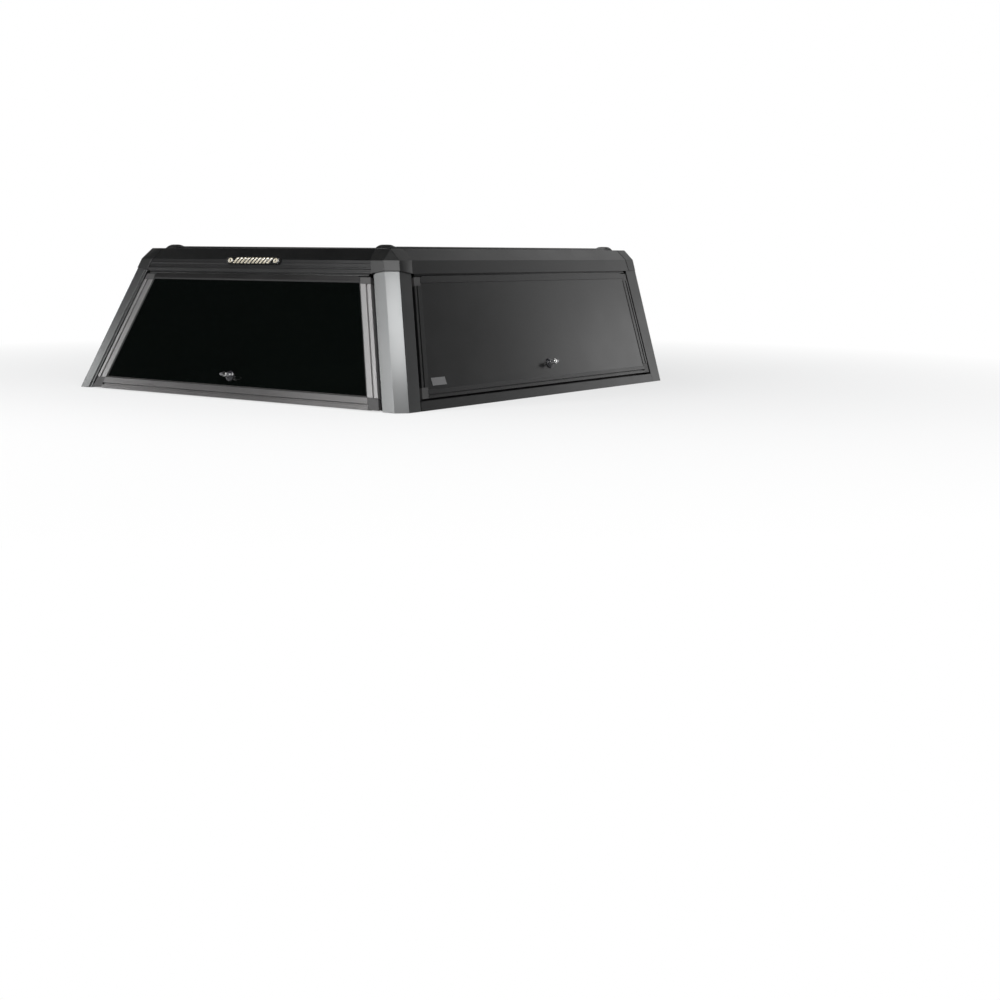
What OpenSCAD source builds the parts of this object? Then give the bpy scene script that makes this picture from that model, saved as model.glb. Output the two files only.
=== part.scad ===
// Hinged canopy for a pickup bed: an aluminium shell with a glazed rear hatch
// and a lift-up door in each side, all three hung from the roof rails.
// Millimetres. +X is the right-hand side, +Y points to the cab, +Z is up.
// The origin is the middle of the footprint, on the bed rails.

/* [Shell] */
// Width across the base rails
canopy_w = 1728; // [1500:1:1900]
// Overall length, rear sill to front top edge
canopy_l = 1826; // [1500:1:2400]
// Height from the bed rails to the roof panel
canopy_h = 556; // [480:1:700]
// Inward lean of the sides, degrees
side_lean = 20.48; // [14:0.01:22]
// Forward lean of the rear, degrees
rear_lean = 19.14; // [10:0.01:22]
// Forward lean of the front, degrees
front_lean = 7.35; // [2:0.01:12]
// Height of the sloping facet between side and roof
shoulder_h = 41; // [30:1:60]
// How far that facet runs inwards
shoulder_run = 45; // [30:1:60]
// How far the front facet runs back
front_run = 10; // [4:1:30]

/* [Rails] */
// Height of the base rails
sill_h = 33; // [24:1:50]
// Width of the foot that lies on the bed rail
foot_w = 72; // [55:1:100]
// Wall of the base rails
rail_wall = 4; // [3:0.5:6]
// Height of the flat band above the hatch and the doors
band_h = 47; // [40:1:60]
// Depth of the header rails behind the outer face
header_d = 34; // [34:1:60]
// Roof sheet thickness
roof_t = 3; // [2:0.5:5]
// Ledge that carries the roof sheet
roof_ledge = 30; // [15:1:60]

/* [Rear pillars] */
// Width of the pillar's rear facet
rear_facet = 46; // [30:1:70]
// Width of the corner facet across each axis
corner_cut = 36; // [15:1:50]
// Width of the pillar's side facet
side_facet = 63; // [40:1:90]
// Width of the stepped lip beside the hatch
hatch_lip = 11; // [6:1:16]
// Width of the stepped lip beside the door
door_lip = 6; // [3:1:12]
// Depth of the step behind the lips
lip_step = 4; // [2:0.5:8]

/* [Front pillars] */
// Width of the pillar across the front
front_facet = 74; // [60:1:110]
// Corner cut of the front pillar
front_cut = 12; // [5:1:20]

/* [Corner caps] */
// How far the rear caps stand proud of the shell
cap_proud = 4; // [2:0.5:8]
// How far the rear caps reach past their pillars
cap_reach = 16; // [12:1:30]
// How far the front caps stand proud of the shell
front_cap_proud = 1.5; // [1:0.5:4]
// Overlap of a rear cap over its pillar
cap_skirt = 12; // [5:1:25]
// How far a rear cap's lower edge drops towards its ends
cap_dip = 10; // [0:1:20]
// Height of the rear caps' lower band
cap_band = 25; // [18:1:40]
// Length of the front caps along the roof
front_cap_l = 72; // [40:1:120]
// Open joint between a side rail and its front cap
cap_joint = 0.8; // [0.3:0.1:0.9]

/* [Hatch] */
// Thickness of the hatch and door frames
leaf_t = 24; // [18:1:32]
// Width of the hatch stiles
stile_w = 46; // [35:1:70]
// Width of the hatch bottom rail up the slope
hatch_rail = 44; // [30:1:70]
// Width of the hatch top rail up the slope
hatch_top = 15; // [12:1:30]
// Clear gap between hatch and pillar lip
hatch_gap = 13; // [8:1:18]
// Height of the hatch's lower edge over the bed rails
hatch_lift = 4; // [3:0.5:12]
// Glass thickness
glass_t = 5; // [4:0.5:8]
// How far the glass lies below the frame's face
glass_set = 4; // [2:0.5:8]
// Thickness of the rubber lip under the hatch
lip_seal_h = 2.5; // [1.5:0.5:3]
// Width of the rubber lip under the hatch
lip_seal_w = 8; // [5:1:10]

/* [Side doors] */
// Width of the door's front and rear bars
door_bar = 34; // [25:1:50]
// Width of the door's bottom bar
door_bottom = 30; // [20:1:50]
// Width of the door's top bar
door_top = 22; // [16:1:35]
// Open gap between door and rear pillar lip
door_gap = 10; // [6:1:14]
// Open gap between door and front pillar
door_front_gap = 8; // [6:1:12]
// Open gap between door and base rail
door_sill_gap = 8; // [6:1:12]
// Lean of the door's front edge, degrees
door_front_lean = 5.9; // [2:0.1:9]
// Where the door's front edge meets the bed rail line
door_front_back = 87; // [80:1:160]
// Door skin thickness
skin_t = 3; // [2:0.5:5]
// How far the skin lies below the frame's face
skin_set = 2; // [1:0.5:4]
// Plate on the door: length
plate_l = 78; // [60:1:140]
// Plate on the door: height
plate_h = 28; // [15:1:40]
// Plate on the door: thickness
plate_t = 1.2; // [0.8:0.1:3]
// Distance of the plate from the door's rear bar
plate_in = 28; // [10:1:60]
// Distance of the plate from the door's bottom bar
plate_up = 14; // [5:1:60]

/* [Frame grooves] */
// Share of a bar's width taken by its outer ridge
outer_ridge = 0.3; // [0.2:0.01:0.4]
// Share of a bar's width taken by the groove
groove_share = 0.18; // [0.1:0.01:0.3]
// Depth of the groove
groove_d = 6; // [3:0.5:10]
// How far a corner connector runs along the stile past the rail
corner_drop = 10; // [0:1:20]
// How far a corner connector lies below the bars' face
corner_in = 1; // [0:0.5:3]

/* [Hinges] */
// Radius of the hinge bead
bead_r = 3; // [2.5:0.1:4]
// Wall of the socket that turns on the bead
socket_wall = 2.45; // [2:0.05:3]
// Running clearance between bead and socket
bead_play = 0.05; // [0.03:0.01:0.1]
// How far the socket's foot sinks into the leaf
socket_sink = 1; // [0.5:0.5:5]
// Thickness of the web that carries the bead
bead_web = 2.4; // [1.8:0.1:2.6]
// Opening angle that the socket mouth leaves free
open_angle = 85; // [60:1:90]
// Free room above and below the hinge axis
hinge_room = 6; // [6:0.1:8]
// Distance from a leaf's edge to the end of its hinge
hinge_end = 8; // [4:1:20]

/* [Seals] */
// Depth of the seal landing below the outer face
landing_d = 32; // [31:1:40]
// How far the landing reaches behind a leaf
landing_reach = 18; // [16:1:30]
// Thickness of the landing
landing_t = 4; // [3:0.5:6]
// Distance of the seal from the leaf's edge
seal_edge = 3; // [2:0.5:5]
// Width of the rubber seal
seal_w = 10; // [6:1:12]
// Gap between a seal and the leaf that closes on it
seal_gap = 0.3; // [0.2:0.05:0.5]

/* [Locks] */
// Radius of the lock's round base
lock_r = 20; // [16:1:30]
// Thickness of the lock base
lock_t = 9; // [7:0.5:14]
// Radius of the handle's stem
stem_r = 8; // [6:0.5:12]
// Length of the stem outside the base
stem_l = 10; // [8:1:25]
// Span of the T-handle
grip_l = 62; // [50:1:90]
// Width of the T-handle's bar
grip_w = 15; // [14:1:24]
// Thickness of the T-handle's bar
grip_t = 11; // [8:1:18]
// Radius of the key cylinder
key_r = 6.5; // [4:0.5:7]
// How far the key cylinder stands out
key_out = 2; // [1:0.5:5]
// Height of the hatch lock over the bed rails
hatch_lock_z = 85; // [75:1:160]
// Height of the door locks over the bed rails
door_lock_z = 118; // [100:1:200]
// Distance of the door locks ahead of the door's middle
door_lock_fore = 36; // [-100:1:100]
// How far the stem sinks into the lock base
stem_sink = 6; // [3:0.5:6]

/* [Brake light] */
// Length of the lamp
lamp_l = 280; // [200:1:400]
// Height of the lamp
lamp_h = 26; // [20:1:34]
// Depth of the lamp
lamp_d = 12; // [8:1:20]
// Rim left around the lens
lamp_rim = 5; // [3:0.5:8]
// Length of the solid ends beside the lens
lamp_cheek = 20; // [10:1:40]
// How far the lamp stands above the flat band
lamp_up = 5; // [0:1:10]

/* [Roof tracks] */
// Distance of each track's middle from the roof's side edge
track_in = 72; // [40:1:300]
// Width of a track
track_w = 58; // [40:1:70]
// Height of a track
track_h = 8; // [7:0.5:14]
// Width of the track's slot
slot_w = 10; // [6:0.5:14]
// Width of the slot's undercut
slot_under = 20; // [16:1:30]
// Metal left under the track's slot
track_floor = 2; // [1:0.5:3]
// Lips over the track's undercut
track_lip = 2; // [1:0.5:3]
// Bevel along the track's top edges
track_bevel = 3; // [1:0.5:4]
// Length of a track's end cap
track_end_l = 62; // [40:1:90]
// Extra height of the end caps
track_end_up = 7; // [3:1:12]
// Distance of the tracks from the roof's rear edge
track_rear = 32; // [20:1:200]
// Distance of the tracks from the roof's front edge
track_front = 30; // [20:1:200]

/* [Bed fixings] */
// Radius of the fixing holes in the feet
fixing_r = 4.5; // [3:0.5:6]
// Distance of a hole from the foot's inner edge
fixing_in = 18; // [12:1:30]
// Distance between the front and rear holes
fixing_span = 1100; // [600:10:1300]

/* [Hidden] */
$fn = 48;

satin_black = "#26282a";
pillar_grey = "#4a4c4d";
cast_black = "#303234";
rubber_black = "#151515";
glass_black = "#0d1010";
steel = "#c8cacc";

far = 3000;
cut_over = 1;

// Slopes of the three outer planes, per millimetre of height.
side_k = tan(side_lean);
rear_k = tan(rear_lean);
front_k = tan(front_lean);
door_front_k = tan(door_front_lean);

band_top = canopy_h - shoulder_h;
band_low = band_top - band_h;
half_w = canopy_w / 2;
rear_y = -canopy_l / 2;
front_y = canopy_l / 2 - band_top * front_k;

function side_x(z) = half_w - z * side_k;
function rear_plane(z) = rear_y + z * rear_k;
function front_plane(z) = front_y + z * front_k;

// Horizontal depth of a layer that lies n behind a leaning face.
function side_depth(n) = n / cos(side_lean);
function rear_depth(n) = n / cos(rear_lean);
function front_depth(n) = n / cos(front_lean);

roof_x = side_x(band_top) - shoulder_run;
roof_rear = rear_plane(band_top) + shoulder_run;
roof_front = front_plane(band_top) - front_run;
roof_edge = 5;

socket_r = bead_r + bead_play + socket_wall;
header_low = band_low;
hinge_z = header_low - hinge_room;
leaf_top = hinge_z - hinge_room;

// Plan of the rear pillar at the foot, seen from above.
rear_in_x = half_w - corner_cut - rear_facet;
lip_x = rear_in_x - hatch_lip;
hatch_edge_x = lip_x - hatch_gap;
hatch_land_x = hatch_edge_x - landing_reach;
side_land_x = half_w - side_depth(landing_d);
rear_out_y = rear_y + corner_cut + side_facet;
door_lip_y = rear_out_y + door_lip;
door_rear_y = door_lip_y + door_gap;
door_land_y = door_rear_y + landing_reach;
door_front_y = front_y - door_front_back;
front_post_y = door_front_y + door_front_gap;
pillar_top = band_top - cap_band;

// A leaf is a four-sided outline in its own plane. It's listed as its low and high edge, then the foot
// and the slope of its left edge and of its right edge.
hatch_side_k = side_k * cos(rear_lean);
hatch_low = hatch_lift / cos(rear_lean);
hatch_high = hinge_z / cos(rear_lean) - hinge_room;
hatch_outline = [hatch_low, hatch_high, -hatch_edge_x, hatch_side_k, hatch_edge_x, -hatch_side_k];
door_low = (sill_h + door_sill_gap) / cos(side_lean);
door_high = hinge_z / cos(side_lean) - hinge_room;
door_outline = [door_low, door_high, door_rear_y, rear_k * cos(side_lean),
    door_front_y, door_front_k * cos(side_lean)];

function left_at(leaf, inset, u) = leaf[2] + leaf[3] * u + inset * sqrt(1 + leaf[3] * leaf[3]);
function right_at(leaf, inset, u) = leaf[4] + leaf[5] * u - inset * sqrt(1 + leaf[5] * leaf[5]);
function edge_at(leaf, side, inset, u) = side < 0 ? left_at(leaf, inset, u) : right_at(leaf, inset, u);
function outline(leaf, inset, low, high) = [
    [left_at(leaf, inset, low), low], [right_at(leaf, inset, low), low],
    [right_at(leaf, inset, high), high], [left_at(leaf, inset, high), high]];
// The part of a leaf's left or right border between two distances from its edge.
function border(leaf, side, from, to, low, high) = [
    [edge_at(leaf, side, from, low), low], [edge_at(leaf, side, to, low), low],
    [edge_at(leaf, side, to, high), high], [edge_at(leaf, side, from, high), high]];

// Layers across a bar, each [from, to, depth] as shares of its width and a depth below the face.
bar_layers = [[0, outer_ridge, 0], [outer_ridge, outer_ridge + groove_share, groove_d],
    [outer_ridge + groove_share, 1, 0]];

// Local frames: X along the face, Y up the slope, Z outwards.
module on_side() {
    translate([half_w, 0, 0]) rotate([0, -side_lean, 0]) rotate([90, 0, 90]) children();
}
module on_rear() {
    translate([0, rear_y, 0]) rotate([90 - rear_lean, 0, 0]) children();
}
module on_front() {
    translate([0, front_y, 0]) rotate([-front_lean, 0, 0]) rotate([90, 0, 180]) children();
}
module mirrored() {
    mirror([1, 0, 0]) children();
}
module pair() {
    children();
    mirrored() children();
}

// Half spaces used to trim ends along the leaning planes.
module outside_side(x) {
    translate([x, 0, 0]) rotate([0, -side_lean, 0]) translate([0, -far, -far])
        cube([far, 2 * far, 2 * far]);
}
module behind_rear(y) {
    translate([0, y, 0]) rotate([-rear_lean, 0, 0]) translate([-far, -far, -far])
        cube([2 * far, far, 2 * far]);
}
module ahead_of_door(y) {
    translate([0, y, 0]) rotate([-door_front_lean, 0, 0]) translate([-far, 0, -far])
        cube([2 * far, far, 2 * far]);
}
module below(z) {
    translate([-far, -far, z - far]) cube([2 * far, 2 * far, far]);
}

// A straight post between two heights. Each corner is [x, y, x slope, y slope]. Its ends are split into
// triangles round the corner hub, which has every other corner in plain sight.
module leaning_post(corners, hub, low, high) {
    n = len(corners);
    points = concat(
        [for (c = corners) [c[0] + c[2] * low, c[1] + c[3] * low, low]],
        [for (c = corners) [c[0] + c[2] * high, c[1] + c[3] * high, high]]);
    sides = [for (i = [0:n - 1]) [i, n + i, n + (i + 1) % n, (i + 1) % n]];
    foot = [for (i = [0:n - 1]) (hub + i) % n];
    head = [for (i = [n:-1:1]) n + (hub + i) % n];
    polyhedron(points, concat([foot, head], sides));
}

// The convex block round a list of corner points.
module block(points) {
    hull() polyhedron(points, [[for (i = [0:len(points) - 1]) i]]);
}

// The rear pillar in plan. The outer part has three facets and a stepped lip on each side, and runs up
// into the cap. The inner part carries the seal landings behind the hatch and the door.
pillar_outside = [
    [lip_x, rear_y + lip_step], [rear_in_x, rear_y + lip_step], [rear_in_x, rear_y],
    [half_w - corner_cut, rear_y], [half_w, rear_y + corner_cut], [half_w, rear_out_y],
    [half_w - lip_step, rear_out_y], [half_w - lip_step, door_lip_y]];
rear_land_y = rear_y + rear_depth(landing_d);
pillar_inside = [
    [side_land_x, door_lip_y], [side_land_x, door_land_y], [side_land_x - landing_t, door_land_y],
    [hatch_land_x, rear_land_y + landing_t], [hatch_land_x, rear_land_y], [lip_x, rear_land_y]];

// Where the upper part's inner corner meets the slanting back between the two landings.
back_share = (door_lip_y - rear_land_y - landing_t) / (door_land_y - rear_land_y - landing_t);
pillar_corner = [hatch_land_x + back_share * (side_land_x - landing_t - hatch_land_x), door_lip_y];

// One closed surface: the whole outline up to the ledge, then only the outer part up to the cap. Each face
// starts at a corner that has all its others in plain sight.
module rear_pillar() {
    outside = pillar_outside;
    corner = pillar_corner;
    n = len(outside);
    m = len(pillar_inside);
    function at(c, z) = [c[0] - side_k * z, c[1] + rear_k * z, z];
    mid = n + m;
    top = mid + m + 3;
    first_mid = mid + m + 1;
    corner_mid = mid + m + 2;
    back = m / 2;
    points = concat(
        [for (c = concat(outside, pillar_inside)) at(c, 0)],
        [for (c = concat([outside[n - 1]], pillar_inside, [outside[0], corner])) at(c, band_low)],
        [for (c = concat(outside, [corner])) at(c, pillar_top)]);
    faces = concat(
        [concat([for (i = [1:n]) i], [mid - 1, 0]), [for (i = [n:mid - 1]) i]],
        [[0, first_mid, 1], [first_mid, top, top + 1], [first_mid, top + 1, 1]],
        [for (i = [1:n - 3]) [i, top + i, top + i + 1, i + 1]],
        [[n - 2, mid, n - 1], [n - 2, top + n - 2, mid], [mid, top + n - 2, top + n - 1]],
        [for (i = [0:m]) concat([n - 1 + i, mid + i], i == back ? [corner_mid] : [],
            [mid + i + 1, (n + i) % mid])],
        [[mid, top + n - 1, mid + 1], [mid + 1, top + n - 1, top + n], [mid + 1, top + n, corner_mid]],
        [[corner_mid, top + n, top, first_mid]],
        [concat([for (i = [m:-1:back + 1]) mid + i], [corner_mid, first_mid])],
        [concat([corner_mid], [for (i = [back:-1:1]) mid + i])],
        [[for (i = [0:n]) top + (n + 2 - i) % (n + 1)]]);
    polyhedron(points, faces);
}

module front_pillar() {
    inner_x = half_w - front_facet;
    depth = front_depth(header_d);
    post = [-side_k, front_k];
    jamb = [-side_k, door_front_k];
    leaning_post([
        concat([half_w, front_post_y], jamb), concat([side_land_x, front_post_y], jamb),
        concat([side_land_x, door_front_y - landing_reach], jamb),
        concat([side_land_x - landing_t, door_front_y - landing_reach], jamb),
        concat([side_land_x - landing_t, front_y - depth], post), concat([inner_x, front_y - depth], post),
        concat([inner_x, front_y], post), concat([half_w - front_cut, front_y], post),
        concat([half_w, front_y - front_cut], post)], 4, 0, band_low);
}

// Base rail in two strips: the outer web under the door, and behind the landing the seal tab and the foot.
// The web's upper flange falls inwards, square to the side, as the door's lower edge does.
flange_z = sill_h - landing_d * sin(side_lean);
module sill_web() {
    polygon([[half_w, 0], [side_x(sill_h), sill_h], [side_land_x - flange_z * side_k, flange_z],
        [side_land_x - (flange_z - rail_wall) * side_k, flange_z - rail_wall],
        [side_x(sill_h) - rail_wall, sill_h - rail_wall * (1 + side_k)],
        [half_w - rail_wall * (1 + side_k), rail_wall], [side_land_x - rail_wall * side_k, rail_wall],
        [side_land_x, 0]]);
}
module sill_foot() {
    low = flange_z - rail_wall;
    high = sill_h + door_sill_gap + landing_reach;
    polygon([[side_land_x, 0], [side_land_x - rail_wall * side_k, rail_wall], [half_w - foot_w, rail_wall],
        [half_w - foot_w, 0]]);
    polygon([[side_land_x - low * side_k, low], [side_land_x - high * side_k, high],
        [side_land_x - high * side_k - landing_t, high], [side_land_x - low * side_k - landing_t, low]]);
}
module strip(from, to) {
    difference() {
        translate([0, front_y, 0]) rotate([90, 0, 0]) linear_extrude(front_y - rear_y) children();
        behind_rear(from);
        ahead_of_door(to);
    }
}

module base_rail() {
    x = half_w - foot_w + fixing_in;
    strip(door_lip_y, front_post_y) sill_web();
    difference() {
        strip(door_land_y, door_front_y - landing_reach) sill_foot();
        for (y = [-fixing_span / 2, fixing_span / 2])
            translate([x, y, -cut_over]) cylinder(r = fixing_r, h = rail_wall + 2 * cut_over);
    }
}

module base_rail_front() {
    depth = front_depth(header_d);
    difference() {
        translate([-half_w, 0, 0]) rotate([90, 0, 90]) linear_extrude(canopy_w) polygon([
            [front_y, 0], [front_plane(sill_h), sill_h], [front_plane(sill_h) - depth, sill_h],
            [front_plane(sill_h) - depth, sill_h - rail_wall], [front_y - rail_wall, sill_h - rail_wall],
            [front_y - rail_wall, rail_wall], [front_y - foot_w, rail_wall], [front_y - foot_w, 0]]);
        pair() outside_side(half_w - front_facet);
    }
}

// The web reaches into the header, whose lower face is level.
web_l = (hinge_room + socket_r * sin(side_lean)) / cos(side_lean) + 2;
// Round bead on a web, drawn round the hinge axis: X outwards, Y up the slope.
module bead_profile() {
    circle(r = bead_r);
    translate([-bead_web / 2, 0]) square([bead_web, web_l]);
}

// Socket wall that turns on the bead. Its mouth leaves the web free through the whole swing.
module socket_profile() {
    clear = asin(bead_web / 2 / bead_r) + 8;
    from = 90 - open_angle - clear;
    to = 90 + clear;
    mouth = 2 * socket_r;
    foot = hinge_room + socket_sink;
    difference() {
        union() {
            circle(r = socket_r);
            translate([-socket_r, -foot]) square([2 * socket_r, foot - 2]);
        }
        circle(r = bead_r + bead_play);
        polygon([[0, 0], mouth * [cos(from), sin(from)],
            mouth * 1.5 * [cos((from + to) / 2), sin((from + to) / 2)], mouth * [cos(to), sin(to)]]);
    }
}

// Outer face of a header above the leaf, its shoulder facet and the ledge under the roof sheet.
// Plan distance is measured inwards from the foot of the leaning face, with slope k.
module header_profile(k, lean, run) {
    top_in = band_top * k + run;
    polygon([
        [band_low * k, band_low], [band_top * k, band_top], [top_in, canopy_h],
        [top_in + roof_edge, canopy_h], [top_in + roof_edge, canopy_h - roof_t],
        [top_in + roof_edge + roof_ledge, canopy_h - roof_t],
        [top_in + roof_edge + roof_ledge, canopy_h - roof_t - rail_wall],
        [band_low * k + landing_d / cos(lean) + landing_t, band_low]]);
}
// The tab that carries the seal above a leaf.
module header_tab(k, lean) {
    tab = landing_d / cos(lean);
    low = leaf_top - landing_reach;
    polygon([[band_low * k + tab, band_low], [band_low * k + tab + landing_t, band_low],
        [low * k + tab + landing_t, low], [low * k + tab, low]]);
}

// Where the hinge axis lies, as distance inwards from the foot of the face and height.
function hinge_in(k, lean) = hinge_z * k + socket_r * cos(lean);
function hinge_up(lean) = hinge_z - socket_r * sin(lean);

door_hinge_from = door_rear_y + hinge_z * rear_k + hinge_end;
door_hinge_to = door_front_y + hinge_z * door_front_k - hinge_end;
hatch_hinge_half = hatch_edge_x - hinge_z * side_k - hinge_end;

// Along the side hinge axis: children are a profile with X outwards and Y up the slope.
module along_door_hinge(from, to) {
    translate([half_w - hinge_in(side_k, side_lean), from, hinge_up(side_lean)]) rotate([0, -side_lean, 0])
        rotate([90, 0, 0]) mirror([0, 0, 1]) linear_extrude(to - from) children();
}
module along_hatch_hinge(half) {
    translate([-half, rear_y + hinge_in(rear_k, rear_lean), hinge_up(rear_lean)]) rotate([-rear_lean, 0, 0])
        rotate([90, 0, -90]) mirror([0, 0, 1]) linear_extrude(2 * half) children();
}

module side_header() {
    end = front_plane(band_top) - front_cap_l - cap_joint;
    difference() {
        translate([half_w, end, 0]) mirror([1, 0, 0]) rotate([90, 0, 0])
            linear_extrude(end - rear_y) header_profile(side_k, side_lean, shoulder_run);
        behind_rear(door_lip_y);
    }
    strip(door_land_y, door_front_y - landing_reach)
        translate([half_w, 0]) mirror([1, 0]) header_tab(side_k, side_lean);
    along_door_hinge(door_hinge_from, door_hinge_to) bead_profile();
}

module rear_header() {
    difference() {
        translate([-half_w, rear_y, 0]) rotate([90, 0, 90])
            linear_extrude(canopy_w) header_profile(rear_k, rear_lean, shoulder_run);
        pair() outside_side(cap_end_x);
    }
    difference() {
        translate([-half_w, rear_y, 0]) rotate([90, 0, 90])
            linear_extrude(canopy_w) header_tab(rear_k, rear_lean);
        pair() outside_side(hatch_land_x);
    }
    along_hatch_hinge(hatch_hinge_half) bead_profile();
}

module front_header() {
    depth = front_depth(header_d);
    difference() {
        translate([-half_w, 0, 0]) rotate([90, 0, 90]) linear_extrude(canopy_w) polygon([
            [front_plane(band_low), band_low], [front_plane(band_top), band_top], [roof_front, canopy_h],
            [roof_front - roof_edge, canopy_h], [roof_front - roof_edge, canopy_h - roof_t],
            [roof_front - roof_edge - roof_ledge, canopy_h - roof_t],
            [roof_front - roof_edge - roof_ledge, canopy_h - roof_t - rail_wall],
            [front_plane(band_low) - depth, band_low]]);
        pair() outside_side(half_w - front_facet);
    }
}

module roof_sheet(grow) {
    x = roof_x - roof_edge;
    translate([-x, roof_rear + roof_edge, canopy_h - roof_t])
        cube([2 * x, roof_front - roof_rear - 2 * roof_edge, roof_t + grow]);
}

// Faceted casting over the rear corner. Its leaning lower band ends in a shallow chevron, and facets above
// close onto the roof. A pocket takes the pillar and a notch takes the roof sheet.
cap_end_x = rear_in_x - cap_reach;
module rear_cap() {
    p = cap_proud;
    low = pillar_top - cap_skirt;
    chamfer_x = half_w - corner_cut;
    chamfer_y = rear_y + corner_cut;
    ring = [[cap_end_x, rear_y - p], [chamfer_x, rear_y - p], [half_w + p, chamfer_y],
        [half_w + p, door_lip_y], [cap_end_x, door_lip_y]];
    pocket = concat(pillar_outside, [pillar_corner]);
    notch_x = roof_x - roof_edge;
    notch_y = roof_rear + roof_edge;
    notch_z = canopy_h - roof_t;
    function at(c, z) = [c[0] - side_k * z, c[1] + rear_k * z, z];
    function rear_dip(c) = low - cap_dip * max(0, (chamfer_x - c[0]) / (chamfer_x - cap_end_x));
    function side_dip(c) = low - cap_dip * max(0, (c[1] - chamfer_y) / (door_lip_y - chamfer_y));
    points = concat(
        [for (i = [0, 1, 2]) at(ring[i], rear_dip(ring[i]))],
        [at(ring[3], side_dip(ring[3])), at(ring[4], rear_dip(ring[4]))],
        [for (i = [0:3]) at(pocket[i], rear_dip(pocket[i]))],
        [for (i = [4:7]) at(pocket[i], side_dip(pocket[i]))],
        [at(pocket[8], rear_dip(pocket[8]))],
        [for (c = pocket) at(c, pillar_top)],
        [for (i = [0:3]) at(ring[i], band_top)],
        [[cap_end_x - notch_z * side_k, notch_y, notch_z], [notch_x, notch_y, notch_z],
        [notch_x, door_lip_y + notch_z * rear_k, notch_z], at(ring[4], notch_z)],
        [[cap_end_x - canopy_h * side_k, roof_rear, canopy_h], [roof_x, roof_rear, canopy_h],
        [roof_x, door_lip_y + canopy_h * rear_k, canopy_h],
        [notch_x, door_lip_y + canopy_h * rear_k, canopy_h],
        [notch_x, notch_y, canopy_h], [cap_end_x - canopy_h * side_k, notch_y, canopy_h]]);
    faces = concat(
        [[0, 1, 8, 7, 6, 5, 13, 4], [1, 2, 9, 8], [10, 9, 2, 3, 12, 11]],
        [for (i = [0:6]) [5 + i, 6 + i, 15 + i, 14 + i]],
        [[13, 5, 14, 22], concat([for (i = [15:22]) i], [14])],
        [[0, 23, 24, 1], [1, 24, 25, 2], [2, 25, 26, 3]],
        [[23, 31, 32, 24], [24, 32, 25], [25, 32, 33, 26]],
        [[3, 26, 21, 12], [29, 30, 22, 21, 26, 33, 34], [30, 4, 13, 22], [0, 4, 30, 27, 36, 31, 23]],
        [[32, 31, 36, 35, 34, 33], [27, 30, 29, 28], [27, 28, 35, 36], [28, 29, 34, 35]]);
    polyhedron(points, faces);
}

module front_cap() {
    p = front_cap_proud;
    back = front_plane(band_top) - front_cap_l;
    inner = half_w - front_facet;
    function ring(z) = [
        [inner - z * side_k, back, z], [half_w + p - z * side_k, back, z],
        [half_w + p - z * side_k, front_plane(z) - front_cut, z],
        [half_w + p - front_cut - z * side_k, front_plane(z), z], [inner - z * side_k, front_plane(z), z]];
    difference() {
        union() {
            block(concat(ring(band_low), ring(band_top)));
            block(concat(ring(band_top), [
                [inner - canopy_h * side_k, back, canopy_h], [roof_x + p, back, canopy_h],
                [roof_x + p, roof_front, canopy_h], [inner - canopy_h * side_k, roof_front, canopy_h]]));
        }
        roof_sheet(cut_over);
    }
}

// T-slot track that carries a roof load.
track_x = roof_x - track_in;
track_from = roof_rear + track_rear;
track_to = roof_front - track_front;
module roof_track() {
    body_from = track_from + track_end_l;
    body_l = track_to - track_from - 2 * track_end_l;
    difference() {
        translate([track_x, body_from + body_l, canopy_h]) rotate([90, 0, 0]) linear_extrude(body_l)
            polygon([[-track_w / 2, 0], [track_w / 2, 0], [track_w / 2, track_h - track_bevel],
                [track_w / 2 - track_bevel, track_h], [track_bevel - track_w / 2, track_h],
                [-track_w / 2, track_h - track_bevel]]);
        translate([track_x - slot_w / 2, body_from - cut_over, canopy_h + track_floor])
            cube([slot_w, body_l + 2 * cut_over, track_h]);
        translate([track_x - slot_under / 2, body_from - cut_over, canopy_h + track_floor])
            cube([slot_under, body_l + 2 * cut_over, track_h - track_floor - track_lip]);
    }
}

// End cap with an arched top. Shape points are shares of its length and height.
end_shape = [[0.05, 0.4], [0.25, 0.86], [0.5, 1], [0.75, 0.9]];
module track_end() {
    high = track_h + track_end_up;
    rotate([90, 0, 90]) translate([0, 0, -track_w / 2]) linear_extrude(track_w)
        polygon(concat([[0, 0]], [for (e = end_shape) [e[0] * track_end_l, e[1] * high]],
            [[track_end_l, track_h], [track_end_l, 0]]));
}

module roof_track_ends() {
    pair() {
        translate([track_x, track_from, canopy_h]) track_end();
        translate([track_x, track_to, canopy_h]) mirror([0, 1, 0]) track_end();
    }
}

// Stadium outline for the lamp.
module stadium(length, height) {
    for (s = [-1, 1]) translate([s * (length - height) / 2, 0]) circle(d = height);
    square([length - height, height], center = true);
}
lamp_u = (band_top - lamp_h / 2 + lamp_up) / cos(rear_lean);
module brake_light_housing() {
    lens_l = lamp_l - 2 * lamp_cheek;
    lens_h = lamp_h - 2 * lamp_rim;
    on_rear() translate([0, lamp_u, 0]) difference() {
        linear_extrude(lamp_d) stadium(lamp_l, lamp_h);
        translate([0, 0, lamp_d / 2]) linear_extrude(lamp_d) stadium(lens_l, lens_h);
    }
}
module brake_light_lens() {
    lens_l = lamp_l - 2 * lamp_cheek;
    lens_h = lamp_h - 2 * lamp_rim;
    on_rear() translate([0, lamp_u, lamp_d / 2]) linear_extrude(lamp_d / 2) stadium(lens_l, lens_h);
}

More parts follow.
